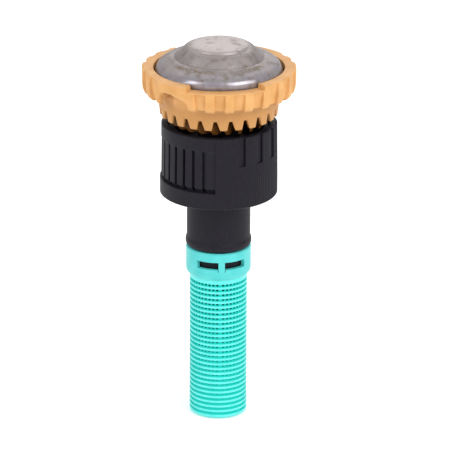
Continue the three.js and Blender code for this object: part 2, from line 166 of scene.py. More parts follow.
def make(name, vertices, faces, sharp=SHARP):
    """A mesh object with outward faces, smooth except at edges sharper than an angle."""
    mesh = bpy.data.meshes.new(name)
    mesh.from_pydata(np.asarray(vertices).tolist(), [], faces)
    bm = bmesh.new()
    bm.from_mesh(mesh)
    bmesh.ops.dissolve_degenerate(bm, dist=1e-7, edges=bm.edges)
    bmesh.ops.delete(bm, geom=[vertex for vertex in bm.verts if not vertex.link_faces], context="VERTS")
    bmesh.ops.recalc_face_normals(bm, faces=bm.faces)
    mark_sharp(bm, sharp)
    bm.to_mesh(mesh)
    bm.free()
    piece = bpy.data.objects.new(name, mesh)
    bpy.context.scene.collection.objects.link(piece)
    return piece


def mark_sharp(bm, sharp):
    """Shades every face smooth and every edge sharper than an angle hard."""
    limit = math.radians(sharp)
    for face in bm.faces:
        face.smooth = True
    for edge in bm.edges:
        edge.smooth = len(edge.link_faces) == 2 and edge.calc_face_angle(0.0) < limit


def loft(name, outline, angles, sharp=SHARP, poles=False):
    """Carries an outline round +Z. outline is [columns, points, (radius, height)], its loop closed,
    or open with both ends on the axis where poles is set."""
    count = len(angles)
    outline = np.broadcast_to(outline, (count,) + outline.shape[1:])
    ring = outline[:, 1:-1] if poles else outline
    rows = ring.shape[1]
    around = angles[:, None] if angles.ndim == 1 else angles
    vertices = place(ring[..., 0], np.broadcast_to(around, ring.shape[:2]), ring[..., 1])
    vertices = vertices.reshape(-1, 3)
    faces = []
    spans = rows - 1 if poles else rows
    for c in range(count):
        here, there = c * rows, ((c + 1) % count) * rows
        for p in range(spans):
            q = (p + 1) % rows
            faces.append((here + p, there + p, there + q, here + q))
    if poles:
        ends = place(np.zeros(2), np.zeros(2), outline[0, [0, -1], 1])
        first, last = len(vertices), len(vertices) + 1
        vertices = np.concatenate([vertices, ends])
        for c in range(count):
            here, there = c * rows, ((c + 1) % count) * rows
            faces.append((first, there, here))
            faces.append((here + rows - 1, there + rows - 1, last))
    return make(name, vertices, faces, sharp)


def sweep(sections, loop=False):
    """Vertices and faces of a body through equal closed sections; a loop joins its last to its first."""
    count, size = len(sections), len(sections[0])
    vertices = np.concatenate(sections)
    faces = []
    for s in range(count if loop else count - 1):
        here, there = s * size, (s + 1) % count * size
        for k in range(size):
            n = (k + 1) % size
            faces.append((here + k, here + n, there + n, there + k))
    if not loop:
        faces.append(tuple(range(size)))
        faces.append(tuple((count - 1) * size + k for k in range(size)))
    return vertices, faces


def gather(parts):
    """One vertex and face list from several."""
    vertices, faces, start = [], [], 0
    for part_vertices, part_faces in parts:
        vertices.append(part_vertices)
        faces.extend(tuple(start + i for i in face) for face in part_faces)
        start += len(part_vertices)
    return np.concatenate(vertices), faces


def combine(piece, tool, operation, sharp=SHARP):
    """Joins a tool to a piece, or cuts it away, and removes the tool. Slivers along the seam are merged,
    and points in the middle of an edge go, because they leave faces with no area."""
    boolean = piece.modifiers.new("combine", "BOOLEAN")
    boolean.solver = "MANIFOLD"
    boolean.operation = operation
    boolean.object = tool
    depsgraph = bpy.context.evaluated_depsgraph_get()
    mesh = bpy.data.meshes.new_from_object(piece.evaluated_get(depsgraph))
    piece.modifiers.clear()
    old = piece.data
    piece.data = mesh
    bpy.data.meshes.remove(old)
    bpy.data.objects.remove(tool)
    bm = bmesh.new()
    bm.from_mesh(mesh)
    bmesh.ops.remove_doubles(bm, verts=bm.verts, dist=0.002 * MM)
    bmesh.ops.dissolve_degenerate(bm, dist=0.001 * MM, edges=bm.edges)
    bmesh.ops.dissolve_verts(bm, verts=[vertex for vertex in bm.verts if len(vertex.link_edges) == 2])
    mark_sharp(bm, sharp)
    bm.to_mesh(mesh)
    bm.free()
    return piece


# ------------------------------------------------------------------ deflector

TEETH = 24
PITCH = 360.0 / TEETH
TIP_Z = 68.95
ROOT_Z = 70.95
TIP_R = 12.64
SKIRT_R = 12.88
GAP_PHASE = 7.3
GRIP_PHASE = 4.0
RIB_HALF = 3.6
GRIP_DEPTH = 0.42
RING_LOW = 73.75
NOTCH_CENTRE = 1.2
NOTCH_HALF = 30.5
NOTCH_Z = 78.35
BORE = 14.1
SHELF_Z = 77.3
CAVITY_R, CAVITY_FLOOR = 9.0, 73.2
HUB_Z = 69.4
ARCH_START, ARCH_END = -57.5, -28.0
ARCH_ANGLES = (-57.0, -55.6, -53.0, -50.0, -43.0, -31.0, -28.6, -28.0)
ARCH_RISES = (0.0, 1.9, 2.9, 3.25, 3.2, 2.2, 1.5, 0.0)
VANE_START, VANE_END = 4.6, 12.2
VANE_LEAN = 34.0
VANE_STEPS = 14


def tooth_edge(angle):
    """Height of the skirt's lower edge: a narrow gap, a slanted flank, a flat tip and a steep flank."""
    along = (angle - GAP_PHASE) % PITCH
    drop = np.interp(along, (0.0, 1.5, 4.9, 11.5, 13.5, PITCH), (0.0, 0.0, 1.0, 1.0, 0.0, 0.0))
    return ROOT_Z - (ROOT_Z - TIP_Z) * drop


def arch_lift(angle):
    """How far the ring's lower edge rises in the two finger arches, in millimetres."""
    return np.interp(offset(angle, 2), ARCH_ANGLES, ARCH_RISES)


def ring_ribs(angle):
    """1 on the ribs of the ring and 0 in its recesses; the wall above an arch has none."""
    ribs = band(offset(angle, TEETH, GRIP_PHASE), RIB_HALF, 0.9)
    beside = offset(angle, 2)
    plain = step(beside, ARCH_START - 1, ARCH_START) * (1 - step(beside, ARCH_END - 0.5, ARCH_END + 0.5))
    return np.maximum(ribs, plain)


def deflector_body():
    """Grip ring, skirt, shelf for the cap and hub, as one outline that varies round the axis."""
    angles = turn(1080)
    recess = 1 - ring_ribs(angles)
    notch = band(offset(angles, 2, NOTCH_CENTRE), NOTCH_HALF, 0.6)
    lift = arch_lift(angles)
    arch = np.minimum(lift / 2.0, 1.0)
    edge = tooth_edge(angles)
    wall = RING_R - 0.02
    low_z = RING_LOW + 0.5 * recess + lift
    recess_top = RING_TOP - 0.5 - (RING_TOP - NOTCH_Z - 0.1) * notch
    rim_r = wall - GRIP_DEPTH * recess * (1 - notch)
    rim_z = RING_TOP - (RING_TOP - NOTCH_Z) * notch
    marked = np.abs(offset(angles, 2, NOTCH_CENTRE)) < 11
    ticks = band(offset(angles, 180), 0.4, 0.3) * marked
    clutch = 0.5 * band(offset(angles, 6), 10.0, 2.0)
    hollow = band(offset(angles, 2) - ARCH_START, 6.0, 3.0)
    groove_z = 76.1 + 0.7 * arch
    corners = [
        (11.5, edge + 0.1, 0.1),
        (TIP_R, edge, 0.12),
        (SKIRT_R, edge * 0.5 + 36.3, 0.2),
        (SKIRT_R, 72.9, 0.4),
        (13.25 - 0.3 * hollow, 73.7 + 0.8 * hollow, 0.3),
        (13.5 - 0.9 * hollow, groove_z - 0.3, 0.2),
        (13.9, groove_z, 0.2),
        (14.7, groove_z + 0.3 * arch + 0.6 * hollow, 0.2),
        (15.0, low_z + 0.1, 0.1),
        (15.25 + 0.8 * arch, low_z, 0.12),
        (16.0 - 0.45 * recess + 0.35 * arch, low_z + 0.35 - 0.15 * arch, 0.3),
        (wall - 0.12 - 0.85 * recess + 0.05 * arch, np.maximum(low_z + 0.45, 75.1), 0.4),
        (wall - 0.68 * recess, np.maximum(low_z + 0.7, 76.6), 0.3),
        (wall - (GRIP_DEPTH - 0.1 * notch) * recess, recess_top, 0.1),
        (rim_r, recess_top + 0.12, 0.1),
        (rim_r, rim_z, 0.3),
        (BORE, rim_z + 0.1 * ticks, 0.1),
        (BORE, SHELF_Z, 0.1),
        (CAVITY_R, SHELF_Z, 0.25),
        (CAVITY_R, CAVITY_FLOOR, 0.25),
        (SHAFT_R + RUN, CAVITY_FLOOR, 0.0),
        (SHAFT_R + RUN, HUB_Z, 0.0),
        (1.8, HUB_Z - clutch, 0.0),
        (2.8, HUB_Z - clutch, 0.0),
        (2.9, HUB_Z, 0.0),
        (3.6, HUB_Z, 0.15),
        (6.0, 69.9, 0.3),
        (9.0, 71.4, 0.4),
        (11.2, 71.9, 0.2),
    ]
    return loft("deflector_rotor", rounded(corners, steps=2), angles)


def spiral_vanes():
    """Curved fins under the deflector that throw the water out and turn it."""
    parts = []
    for i in range(TEETH):
        sections = []
        for k in range(VANE_STEPS + 1):
            t = k / VANE_STEPS
            radius = VANE_START + (VANE_END - VANE_START) * t
            lean = VANE_LEAN * (1 - t) ** 1.4
            half = 0.26 + 0.3 * t
            foot = np.interp(t, (0.0, 0.25, 0.8, 0.88, 1.0), (68.6, 67.5, 67.4, 68.5, TIP_Z + 0.05))
            roof = 70.4 + 1.9 * min(1.0, 1.25 * t)
            centre = GAP_PHASE + (i + 0.6) * PITCH + lean
            across = np.array([-half, half, half * 0.75 + 0.15, half * -0.75 + 0.15])
            height = np.array([roof, roof, foot, foot])
            around = centre + np.degrees(across / radius)
            sections.append(place(np.full(4, radius), around, height))
        parts.append(sweep(sections))
    return make("vanes", *gather(parts))


def deflector():
    """The turning head: its body and its vanes, joined."""
    return combine(deflector_body(), spiral_vanes(), "UNION")


# ------------------------------------------------------------------ cap

CAP_R = 13.7
CAP_COLUMNS = 720
WELD_ANGLE, WELD_R = 45.0, 6.2


def cap():
    """Pressed dome: a raised disc with a creased front, a grooved step, a marked shoulder and a steep rim
    that bulges where the notches of the ring show it."""
    angles = turn(CAP_COLUMNS)
    beside = offset(angles, 2, NOTCH_CENTRE)
    bulge = step(beside, -62.0, -26.0)
    full = bulge * (1 - step(beside, 29.0, 36.0))
    dip = step(beside, -82.0, -62.0) * (1 - bulge)
    front = offset(angles, 1)
    crease = step(front, -75.0, -35.0) * (1 - step(front, 45.0, 85.0))
    marks = band(offset(angles, 150), 0.6, 0.5)
    marked = step(front, -66.0, -62.0) * (1 - step(front, -16.0, -12.0))
    marked = marked + step(front, 14.0, 18.0) * (1 - step(front, 48.0, 52.0))
    raised = 0.07 * marks * marked

    def below(drop):
        return CAP_TOP - drop

    rim = SHELF_Z + 0.3
    inner = [
        (0.0, below(0.75), 0.0),
        (5.4, below(1.15), 0.4),
        (7.0, below(1.8), 0.5),
        (9.1, below(3.9), 0.5),
        (11.0, below(4.2), 0.5),
        (12.9, below(6.0), 0.5),
        (12.95, rim, 0.1),
    ]
    outer = [
        (CAP_R - 0.05, rim, 0.1),
        (CAP_R, below(6.2), 0.25),
        (13.45 + 0.2 * full, below(5.4) - 0.4 * dip, 0.3),
        (13.1 + 0.2 * full - 0.3 * dip, below(4.75) - 0.6 * dip, 0.3),
        (12.6 + 0.05 * full - 0.45 * dip, below(4.25) - 0.1 * dip, 0.2),
        (12.1, below(3.93), 0.3),
        (11.45, below(3.55), 0.25),
        (11.3, below(3.48) + raised, 0.05),
        (10.55, below(3.2) + raised, 0.05),
        (10.4, below(3.16), 0.1),
        (9.85, below(3.06), 0.1),
        (9.66, below(3.13) - 0.13 * crease, 0.08),
        (9.4, below(2.92) - 0.14 * crease, 0.3),
        (8.5, below(2.1), 0.6),
        (7.5, below(1.12) - 0.1 * crease, 0.5),
        (6.85, below(0.72) - 0.3 * crease, 0.3),
        (6.5, below(0.6) - 0.4 * crease, 0.15),
        (6.25, below(0.5) - 0.02 * crease, 0.1),
        (5.2, below(0.24), 0.6),
        (3.0, below(0.07), 1.0),
        (1.0, below(0.01), 0.6),
        (0.0, CAP_TOP, 0.0),
    ]
    outline = rounded(inner + outer, steps=4, closed=False)
    dome = loft("cap_dome", outline, angles, sharp=50.0, poles=True)
    under_mark = outline[int(WELD_ANGLE / 360 * CAP_COLUMNS)]
    return combine(dome, weld_mark(under_mark), "UNION", 50.0)


def weld_mark(profile):
    """A low rounded-square ridge lying on the edge of the raised disc, whose outline there is profile."""
    outer = profile[np.argmax(profile[:, 0]):][::-1]
    sections = []
    for t in np.linspace(0.0, 2 * math.pi, 48, endpoint=False):
        way = np.array([math.cos(t), math.sin(t)])
        corner = np.sign(way) * np.sqrt(np.abs(way)) * np.array([1.1, 0.95])
        points = []
        for out, lift in ((-0.1, -0.12), (0.1, -0.12), (0.1, 0.06), (-0.1, 0.06)):
            across, along = corner + out * way
            radius = WELD_R + along
            height = np.interp(radius, outer[:, 0], outer[:, 1]) + lift
            points.append(place(radius, WELD_ANGLE + math.degrees(across / WELD_R), height))
        sections.append(np.array(points))
    return make("weld_mark", *sweep(sections, loop=True))


# ------------------------------------------------------------------ radius collar

INSET_EDGE = -7.3
COLLAR_BORE = 10.9
LEDGE_Z = 54.8
LEDGE_EDGE = 0.12
GAP_START, GAP_END = 0.35, 0.8
GROOVE_FIRST = -19.0
GROOVE_PITCH = 11.0
GROOVE_COUNT = 15
GROOVE_TOP = 63.9
GROOVE_EDGE = 0.2
POCKET_FIRST = 13.0
POCKET_PITCH = 21.0
POCKET_WIDTH = 10.0
POCKET_COUNT = 8
POCKET_FLOOR = 60.6
POCKET_EDGE = 0.08
RIB_COUNT = 130
WEB_LOW, WEB_TOP = 60.6, 61.6
DRIVE_R, DRIVE_BORE, DRIVE_LOW = 5.2, 4.6, 42.3
DRIVE_SLOT_WIDTH, DRIVE_SLOT_TOP = 2.0, 48.4


def collar_depth(angle, z):
    """How far the collar's outer wall is cut in from a plain taper."""
    left = step(-offset(angle, 1, INSET_EDGE), 0.0, 0.5)
    left = left * step((angle - INSET_EDGE) % 360, 180.0, 180.5)
    above = step(z, LEDGE_Z - LEDGE_EDGE, LEDGE_Z + LEDGE_EDGE)
    shadow_gap = above * (1 - step(z, LEDGE_Z + GAP_START, LEDGE_Z + GAP_END))
    passed = (GROOVE_FIRST - angle + GROOVE_PITCH / 2) % 360
    beside = passed % GROOVE_PITCH - GROOVE_PITCH / 2
    groove = band(beside, 1.4, 0.6) * (passed < GROOVE_COUNT * GROOVE_PITCH)
    groove = groove * above * (1 - step(z, GROOVE_TOP - GROOVE_EDGE / 2, GROOVE_TOP + GROOVE_EDGE / 2))
    panel = above * (1 - step(z, GROOVE_TOP - GROOVE_EDGE, GROOVE_TOP + GROOVE_EDGE))
    wide = left * (0.19 * above + 0.1 * panel + 0.6 * groove + 0.6 * shadow_gap)
    along = (angle - POCKET_FIRST) % 360
    across = (along % POCKET_PITCH) / POCKET_WIDTH
    pocket = across * (across < 1.0) * (along < POCKET_COUNT * POCKET_PITCH)
    pocket = pocket * step(z, POCKET_FLOOR - POCKET_EDGE, POCKET_FLOOR + POCKET_EDGE)
    ribs = 0.5 + 0.5 * np.cos(np.radians(angle) * RIB_COUNT)
    fine = (1 - left) * (0.1 * ribs + 0.5 * pocket)
    return wide + fine


def radius_collar():
    """The sleeve, its web and its drive tube. Rows lie only where the outer wall's depth changes."""
    angles = turn(1440)
    rows = np.concatenate(
        [
            [COLLAR_LOW + 0.25],
            np.linspace(LEDGE_Z - LEDGE_EDGE, LEDGE_Z + LEDGE_EDGE, 5),
            np.linspace(LEDGE_Z + GAP_START, LEDGE_Z + GAP_END, 5),
            np.linspace(POCKET_FLOOR - POCKET_EDGE, POCKET_FLOOR + POCKET_EDGE, 4),
            np.linspace(GROOVE_TOP - GROOVE_EDGE, GROOVE_TOP + GROOVE_EDGE, 9),
            [COLLAR_TOP - 0.25],
        ]
    )
    taper = (COLLAR_FOOT_R - COLLAR_RIM_R) / (COLLAR_TOP - LEDGE_Z)
    corners = [(COLLAR_BORE, COLLAR_LOW, 0.1), (COLLAR_FOOT_R - 0.3, COLLAR_LOW, 0.12)]
    for z in rows:
        plain = COLLAR_FOOT_R - taper * max(0.0, z - LEDGE_Z)
        corners.append((plain - collar_depth(angles, z), z))
    rim = COLLAR_RIM_R - collar_depth(angles, COLLAR_TOP)
    corners += [
        (rim - 0.2, COLLAR_TOP, 0.1),
        (11.05, COLLAR_TOP, 0.12),
        (COLLAR_BORE, COLLAR_TOP - 0.3, 0.1),
        (COLLAR_BORE, WEB_TOP, 0.3),
        (7.0, WEB_TOP, 0.0),
        (7.0, WEB_TOP - 0.45, 0.0),
        (6.0, WEB_TOP - 0.45, 0.0),
        (6.0, WEB_TOP, 0.0),
        (DRIVE_BORE, WEB_TOP, 0.1),
        (DRIVE_BORE, DRIVE_LOW, 0.05),
        (DRIVE_R, DRIVE_LOW, 0.05),
        (DRIVE_R, WEB_LOW, 0.2),
        (COLLAR_BORE, WEB_LOW, 0.2),
    ]
    sleeve = loft("collar_sleeve", rounded(corners, steps=2), angles)
    return combine(sleeve, drive_slots(), "DIFFERENCE")


def drive_slots():
    """A block across the foot of the drive tube, where the throttle nut's two tabs slide."""
    half = DRIVE_SLOT_WIDTH / 2
    foot = DRIVE_LOW - 1
    corners = [(-half, foot), (half, foot), (half, DRIVE_SLOT_TOP), (-half, DRIVE_SLOT_TOP)]
    sections = []
    for x in (-DRIVE_R - 0.8, DRIVE_R + 0.8):
        sections.append(np.array([(x, y, z) for y, z in corners]) * MM)
    return make("drive_slots", *sweep(sections))


# ------------------------------------------------------------------ nozzle base

TUBE_R, TUBE_BORE, TUBE_LOW = 4.9, 4.3, 17.0
PLUG_R = 6.05
BEAD_R = 7.15
NECK_R, NECK_BORE = 6.9, 5.45
THREAD_R = 7.95
THREAD_PITCH = 0.907
THREAD_DEPTH = 0.45
SEAT_Z = 58.5


def nozzle_base():
    """Inner tube, plug for the filter, beaded neck and threaded head, with the thread as a real helix."""
    angles = turn(360)
    corners = [
        (TUBE_BORE, TUBE_LOW, 0.08),
        (TUBE_R, TUBE_LOW, 0.12),
        (TUBE_R, 34.9, 0.1),
        (PLUG_R, 35.2, 0.15),
        (PLUG_R, FILTER_TOP + 0.1, 0.05),
        (6.8, FILTER_TOP + 0.3, 0.08),
        (BEAD_R, 39.5, 0.25),
        (BEAD_R, 40.5, 0.3),
        (NECK_R, 41.1, 0.4),
        (NECK_R, SEAT_Z, 0.1),
        (THREAD_R, SEAT_Z, 0.05),
    ]
    for z in np.arange(SEAT_Z - 0.8, BASE_LOW + 0.3, -THREAD_PITCH / 8):
        phase = (z - THREAD_PITCH * angles / 360.0) / THREAD_PITCH * 2 * math.pi
        ridge = np.clip(0.5 + 0.8 * np.cos(phase), 0.0, 1.0)
        fade = step(z, BASE_LOW + 0.3, BASE_LOW + 1.2) * (1 - step(z, SEAT_Z - 2.4, SEAT_Z - 1.2))
        corners.append((THREAD_R - THREAD_DEPTH * ridge * fade, z))
    corners += [
        (8.1, BASE_LOW, 0.1),
        (BASE_R, BASE_LOW, 0.15),
        (BASE_R, BASE_TOP, 0.1),
        (NECK_BORE, BASE_TOP, 0.1),
        (NECK_BORE, 41.0, 0.1),
        (TUBE_BORE, 40.2, 0.1),
    ]
    return loft("base_neck", rounded(corners), angles)


# ------------------------------------------------------------------ filter screen

HOLES_A_SIDE = 21
FRONT_GAP = 12.6
ROW_COUNT = 28
ROW_PITCH = 1.113
FIRST_ROW_Z = 31.2
GROOVE_DEEP = 0.36
TAPER_LOW, TAPER_TOP = 32.2, 33.4
WINDOW_LOW, WINDOW_TOP = 35.2, 36.9
WINDOW_CENTRE, WINDOW_HALF, LATCH_HALF = 1.7, 46.5, 5.7
LATCH_LOW, LATCH_CUT = 34.7, 1.2
FILTER_BORE, FILTER_SEAT_R, FILTER_FLOOR = 5.45, 6.2, 1.0


def filter_columns():
    """Angles of the filter's column lines, and whether the strip after each line holds a hole."""
    pitch = (180.0 - FRONT_GAP) / (HOLES_A_SIDE - 1)
    half = pitch * 0.28
    lines = []
    for side in (0.0, 180.0):
        for i in range(HOLES_A_SIDE):
            centre = side + FRONT_GAP / 2 + i * pitch
            lines += [(centre - half, True), (centre + half, False)]
        for edge in (LATCH_HALF, LATCH_HALF + LATCH_CUT, WINDOW_HALF):
            lines.append(((side + WINDOW_CENTRE - edge) % 360.0, None))
            lines.append(((side + WINDOW_CENTRE + edge) % 360.0, None))
        for edge in (-2.5, 0.0, 2.5):
            lines.append(((side + edge) % 360.0, None))
    lines.sort(key=lambda line: line[0])
    angles, holes, inside = [], [], False
    for angle, starts in lines:
        inside = inside if starts is None else starts
        angles.append(angle)
        holes.append(inside)
    return np.array(angles), np.array(holes)


def filter_rows():
    """Height and radius of the filter's levels, from the foot up, and what opens above each of them."""
    groove_r = FILTER_R - GROOVE_DEEP
    latch_r = FILTER_COLLAR_R - 0.02
    rows = [
        (0.0, FILTER_R - 0.55, None),
        (0.06, FILTER_R - 0.3, None),
        (0.22, FILTER_R - 0.1, None),
        (0.5, FILTER_R, None),
    ]
    for i in reversed(range(ROW_COUNT)):
        centre = FIRST_ROW_Z - i * ROW_PITCH
        slot = 0.22 - 0.0075 * i
        rows += [
            (centre - 0.34, FILTER_R - 0.05, None),
            (centre - 0.27, groove_r, None),
            (centre - slot, groove_r, "slot"),
            (centre + slot, groove_r, None),
            (centre + 0.27, groove_r, None),
            (centre + 0.34, FILTER_R - 0.05, None),
            (centre + 0.55, FILTER_R, None),
        ]
    rows += [
        (TAPER_LOW, FILTER_R, None),
        (TAPER_LOW + 0.3, FILTER_R + 0.12, None),
        (TAPER_TOP - 0.3, FILTER_COLLAR_R - 0.16, None),
        (TAPER_TOP + 0.1, FILTER_COLLAR_R - 0.03, None),
        (LATCH_LOW - 0.05, latch_r, None),
        (LATCH_LOW, latch_r, "latch"),
        (WINDOW_LOW, latch_r, "window"),
        (WINDOW_TOP, latch_r, None),
        (FILTER_TOP - 0.45, FILTER_COLLAR_R - 0.01, None),
        (FILTER_TOP - 0.18, FILTER_COLLAR_R - 0.06, None),
        (FILTER_TOP, FILTER_COLLAR_R - 0.28, None),
    ]
    return rows


def filter_screen():
    """A cup whose wall is a grid of vertical bars inside proud rings, with the openings between them."""
    angles, hole_columns = filter_columns()
    rows = filter_rows()
    heights = np.array([row[0] for row in rows])
    radii = np.array([row[1] for row in rows])
    inner_radii = np.where(heights < LATCH_LOW - 0.2, FILTER_BORE, FILTER_SEAT_R)
    inner_radii = np.minimum(inner_radii, radii - 0.15)
    inner_heights = np.maximum(heights, FILTER_FLOOR)
    count, levels = len(angles), len(rows)
    skins = [
        place(np.tile(radius, (count, 1)), np.tile(angles[:, None], (1, levels)), np.tile(height, (count, 1)))
        for radius, height in ((radii, heights), (inner_radii, inner_heights))
    ]
    middles = place(np.zeros(2), np.zeros(2), np.array([0.0, FILTER_FLOOR]))
    vertices = np.concatenate([skin.reshape(-1, 3) for skin in skins] + [middles])
    skin = count * levels
    middle = (angles + np.append(angles[1:], angles[0] + 360.0)) / 2

    def is_open(c, j):
        kind = rows[j][2]
        beside = abs(offset(middle[c], 2, WINDOW_CENTRE))
        if kind == "latch":
            return LATCH_HALF < beside < LATCH_HALF + LATCH_CUT
        if kind == "window":
            return LATCH_HALF < beside < WINDOW_HALF
        return kind == "slot" and bool(hole_columns[c])

    faces = []
    last = levels - 1
    floor_row = int(np.searchsorted(heights, FILTER_FLOOR)) - 1
    for c in range(count):
        n = (c + 1) % count
        here, there = c * levels, n * levels
        for j in range(levels - 1):
            a, b, d, e = here + j, there + j, there + j + 1, here + j + 1
            if is_open(c, j):
                continue
            faces.append((a, b, d, e))
            if heights[j + 1] > FILTER_FLOOR:
                faces.append((skin + e, skin + d, skin + b, skin + a))
            sides = [
                ((c - 1) % count, j, a, e),
                (n, j, d, b),
                (c, j - 1, b, a),
                (c, j + 1, e, d),
            ]
            for column, row, p, q in sides:
                if 0 <= row < levels - 1 and is_open(column, row):
                    faces.append((p, q, skin + q, skin + p))
        faces.append((here + last, there + last, skin + there + last, skin + here + last))
        faces.append((2 * skin, there, here))
        faces.append((2 * skin + 1, skin + here + floor_row, skin + there + floor_row))
    return make("filter_cup", vertices, faces)


# ------------------------------------------------------------------ return spring

SPRING_R = 2.6
SPRING_WIRE_R = 0.33
SPRING_TURNS = 5
SPRING_LOW = low("return_spring") + SPRING_WIRE_R
SPRING_TOP = top("return_spring") - SPRING_WIRE_R
HEAD_LIFT = 5.0  # the upper limit of the joint that lifts the head


def return_spring():
    """Coil round the shaft, spaced so that its turns close evenly as its foot goes up with the shaft."""
    length = SPRING_TOP - SPRING_LOW
    share_up = np.linspace(0.0, 1.0, 60)
    follows_foot = 1 - share_up**2 * (3 - 2 * share_up)
    open_heights = SPRING_LOW + length * share_up
    closed_heights = open_heights + HEAD_LIFT * follows_foot
    along = np.linspace(0.0, 1.0, SPRING_TURNS * 20 + 1)
    heights = np.interp(SPRING_LOW + HEAD_LIFT + (length - HEAD_LIFT) * along, closed_heights, open_heights)
    around_wire = np.radians(turn(8))
    sections = [
        place(
            SPRING_R + SPRING_WIRE_R * np.cos(around_wire),
            np.full(8, 360.0 * SPRING_TURNS * part),
            height + SPRING_WIRE_R * np.sin(around_wire),
        )
        for part, height in zip(along, heights)
    ]
    return make("spring_coil", *sweep(sections), sharp=60.0)


# ------------------------------------------------------------------ materials


def material(name, roughness, metallic=0.0):
    """An empty node material: its tree, its shader and a position in millimetres."""
    made = bpy.data.materials.new(name)
    made.use_nodes = True
    tree = made.node_tree
    shader = tree.nodes["Principled BSDF"]
    shader.inputs["Roughness"].default_value = roughness
    shader.inputs["Metallic"].default_value = metallic
    coordinates = tree.nodes.new("ShaderNodeTexCoord")
    scale = tree.nodes.new("ShaderNodeVectorMath")
    scale.operation = "SCALE"
    scale.inputs["Scale"].default_value = 1 / MM
    tree.links.new(coordinates.outputs["Object"], scale.inputs[0])
    return made, tree, shader, scale.outputs[0]


def noise(tree, where, scale, detail):
    """A noise value by place; scale is its waves a millimetre."""
    texture = tree.nodes.new("ShaderNodeTexNoise")
    texture.inputs["Scale"].default_value = scale
    texture.inputs["Detail"].default_value = detail
    tree.links.new(where, texture.inputs["Vector"])
    return texture.outputs["Fac"]


def ramp(tree, value, stops):
    """A colour by value, through stops of (value, colour)."""
    node = tree.nodes.new("ShaderNodeValToRGB")
    elements = node.color_ramp.elements
    while len(elements) < len(stops):
        elements.new(0.5)
    for element, (position, colour) in zip(elements, stops):
        element.position = position
        element.color = (*colour, 1.0)
    tree.links.new(value, node.inputs["Fac"])
    return node.outputs["Color"]


def remap(tree, value, start, end, first=0.0, last=1.0):
    """Maps a value: first at start, last at end, evenly between them and held beyond them."""
    node = tree.nodes.new("ShaderNodeMapRange")
    node.inputs["From Min"].default_value = start
    node.inputs["From Max"].default_value = end
    node.inputs["To Min"].default_value = first
    node.inputs["To Max"].default_value = last
    tree.links.new(value, node.inputs["Value"])
    return node.outputs["Result"]


def spread(tree, value, first, last):
    """Spreads the middle of a noise value from first to last."""
    return remap(tree, value, 0.3, 0.7, first, last)


def bump(tree, shader, value, strength, distance_mm):
    """Fine relief on a shader, as deep as distance_mm."""
    node = tree.nodes.new("ShaderNodeBump")
    node.inputs["Strength"].default_value = strength
    node.inputs["Distance"].default_value = distance_mm * MM
    tree.links.new(value, node.inputs["Height"])
    tree.links.new(node.outputs["Normal"], shader.inputs["Normal"])


def split(tree, where):
    """The X, Y and Z sockets of a place, in millimetres."""
    node = tree.nodes.new("ShaderNodeSeparateXYZ")
    tree.links.new(where, node.inputs["Vector"])
    return node.outputs


def around_axis(tree, where):
    """Distance from the object's upright axis, in millimetres."""
    flat = tree.nodes.new("ShaderNodeVectorMath")
    flat.operation = "MULTIPLY"
    flat.inputs[1].default_value = (1.0, 1.0, 0.0)
    tree.links.new(where, flat.inputs[0])
    length = tree.nodes.new("ShaderNodeVectorMath")
    length.operation = "LENGTH"
    tree.links.new(flat.outputs[0], length.inputs[0])
    return length.outputs["Value"]


def product(tree, first, second):
    """Two values multiplied."""
    node = tree.nodes.new("ShaderNodeMath")
    node.operation = "MULTIPLY"
    tree.links.new(first, node.inputs[0])
    tree.links.new(second, node.inputs[1])
    return node.outputs[0]


def blend(tree, factor, first, second):
    """Mixes two colours; each is a colour or a socket."""
    node = tree.nodes.new("ShaderNodeMix")
    node.data_type = "RGBA"
    tree.links.new(factor, node.inputs["Factor"])
    for socket, colour in (("A", first), ("B", second)):
        target = next(i for i in node.inputs if i.name == socket and i.type == "RGBA")
        if isinstance(colour, tuple):
            target.default_value = (*colour, 1.0)
        else:
            tree.links.new(colour, target)
    return next(o for o in node.outputs if o.type == "RGBA")


def plastic(name, dark, light, roughness, grain=1.2, shine=0.3, painted_shade=None):
    """Mottled between two colours; the last argument, if given, is a function that paints shade into the
    colour by place.
    """
    made, tree, shader, where = material(name, roughness)
    mottle = noise(tree, where, grain, 5.0)
    colour = ramp(tree, mottle, [(0.32, dark), (0.68, light)])
    if painted_shade:
        colour = painted_shade(tree, where, colour)
    tree.links.new(colour, shader.inputs["Base Color"])
    fine = noise(tree, where, 6.0, 3.0)
    tree.links.new(spread(tree, fine, roughness - 0.07, roughness + 0.09), shader.inputs["Roughness"])
    shader.inputs["Specular IOR Level"].default_value = shine
    bump(tree, shader, fine, 0.25, 0.03)
    return made


def painted_skirt_shade(tree, where, colour):
    """Painted shade on the tan: the skirt is painted duller and darker than the ring, as the ring's shadow on
    it, with painted brown shade where the arches tuck under the ring and deep brown painted shade inside the
    skirt.
    """
    distance = around_axis(tree, where)
    height = split(tree, where)["Z"]
    # painted shadow: the skirt below the ring is coloured darker, where the ring shades it
    colour = blend(tree, remap(tree, height, 74.6, 73.2), colour, (0.5, 0.245, 0.078))
    # painted shade: darker brown where the arches tuck under the lip of the ring
    under_lip_shade = product(tree, remap(tree, distance, 14.0, 13.7), remap(tree, height, 75.0, 76.6))
    colour = blend(tree, under_lip_shade, colour, (0.24, 0.09, 0.02))
    # painted shade: deep brown inside the skirt, on the vanes seen through the gaps between the teeth
    return blend(tree, remap(tree, distance, 12.3, 12.05), colour, (0.13, 0.047, 0.006))


